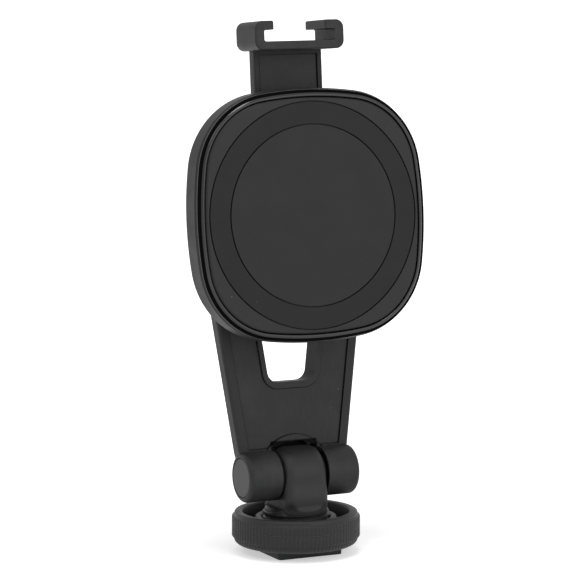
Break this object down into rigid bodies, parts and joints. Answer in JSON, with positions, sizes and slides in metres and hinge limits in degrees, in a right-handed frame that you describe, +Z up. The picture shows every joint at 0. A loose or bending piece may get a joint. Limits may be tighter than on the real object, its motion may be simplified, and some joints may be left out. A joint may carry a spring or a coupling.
{
  "type": "magnetic phone mount",
  "caption": "Magnetic phone holder on a tilting arm, with a knurled lock ring and shoe foot below and an accessory shoe on top.",
  "frame": {"origin": "middle of the foot's underside, below the ring's axis", "axes": "+X to the right along the tilt hinge, +Y to the back, away from the phone, +Z up along the ring's axis"},
  "size_m": [0.0634, 0.0326, 0.1353],
  "materials": {
    "body_plastic": "matte black moulded plastic with a faint grain",
    "shell_plastic": "matte black moulded plastic",
    "bezel_plastic": "black plastic, semi-gloss",
    "cap_plastic": "dark grey plastic, satin",
    "inner_plastic": "dark grey plastic",
    "silicone": "matte black silicone",
    "washer_rubber": "black rubber",
    "bush_plastic": "natural acetal",
    "steel": "zinc-plated steel",
    "spring_steel": "spring steel",
    "magnet": "nickel-plated magnet",
    "yoke_steel": "soft steel sheet"
  },
  "bodies": {
    "base": {"shoe_stem": "body_plastic", "hinge_bush": "bush_plastic", "friction_washer_left": "washer_rubber", "friction_washer_right": "washer_rubber"},
    "clamp": {"clamp_washer": "washer_rubber"},
    "ring": {"lock_ring": "body_plastic"},
    "arm": {"arm_frame": "body_plastic", "hinge_bolt": "steel", "hinge_nut": "steel", "disc_spring": "spring_steel", "cap_left": "cap_plastic", "cap_right": "cap_plastic", "hub_washer": "bush_plastic", "swivel_cap": "cap_plastic"},
    "plate": {"rear_shell": "shell_plastic", "bezel": "bezel_plastic", "front_cover": "shell_plastic", "grip_ring": "silicone", "centre_disc": "shell_plastic", "magnet_array": "magnet", "yoke_ring": "yoke_steel", "magnet_carrier": "inner_plastic", "shell_screws": "steel", "swivel_bolt": "steel", "swivel_spring": "spring_steel", "swivel_nut": "steel"}
  },
  "joints": [
    {"name": "clamp_travel", "type": "slide", "parent": "base", "child": "clamp", "axis": [0, 0, 1], "range_m": [0, 0.0024]},
    {"name": "ring_turn", "type": "hinge", "parent": "clamp", "child": "ring", "pos_m": [0, 0, 0.00655], "axis": [0, 0, 1], "range_deg": [0, 576.2]},
    {"name": "arm_tilt", "type": "hinge", "parent": "base", "child": "arm", "pos_m": [0, 0, 0.02015], "axis": [1, 0, 0], "range_deg": [-60, 95]},
    {"name": "plate_swivel", "type": "hinge", "parent": "arm", "child": "plate", "pos_m": [0, 0.00556, 0.08582], "axis": [0, -0.9964, 0.0844], "continuous": true}
  ],
  "couplings": [
    {"joint": "ring_turn", "follows": "clamp_travel", "rad_per_m": 4188.8}
  ]
}
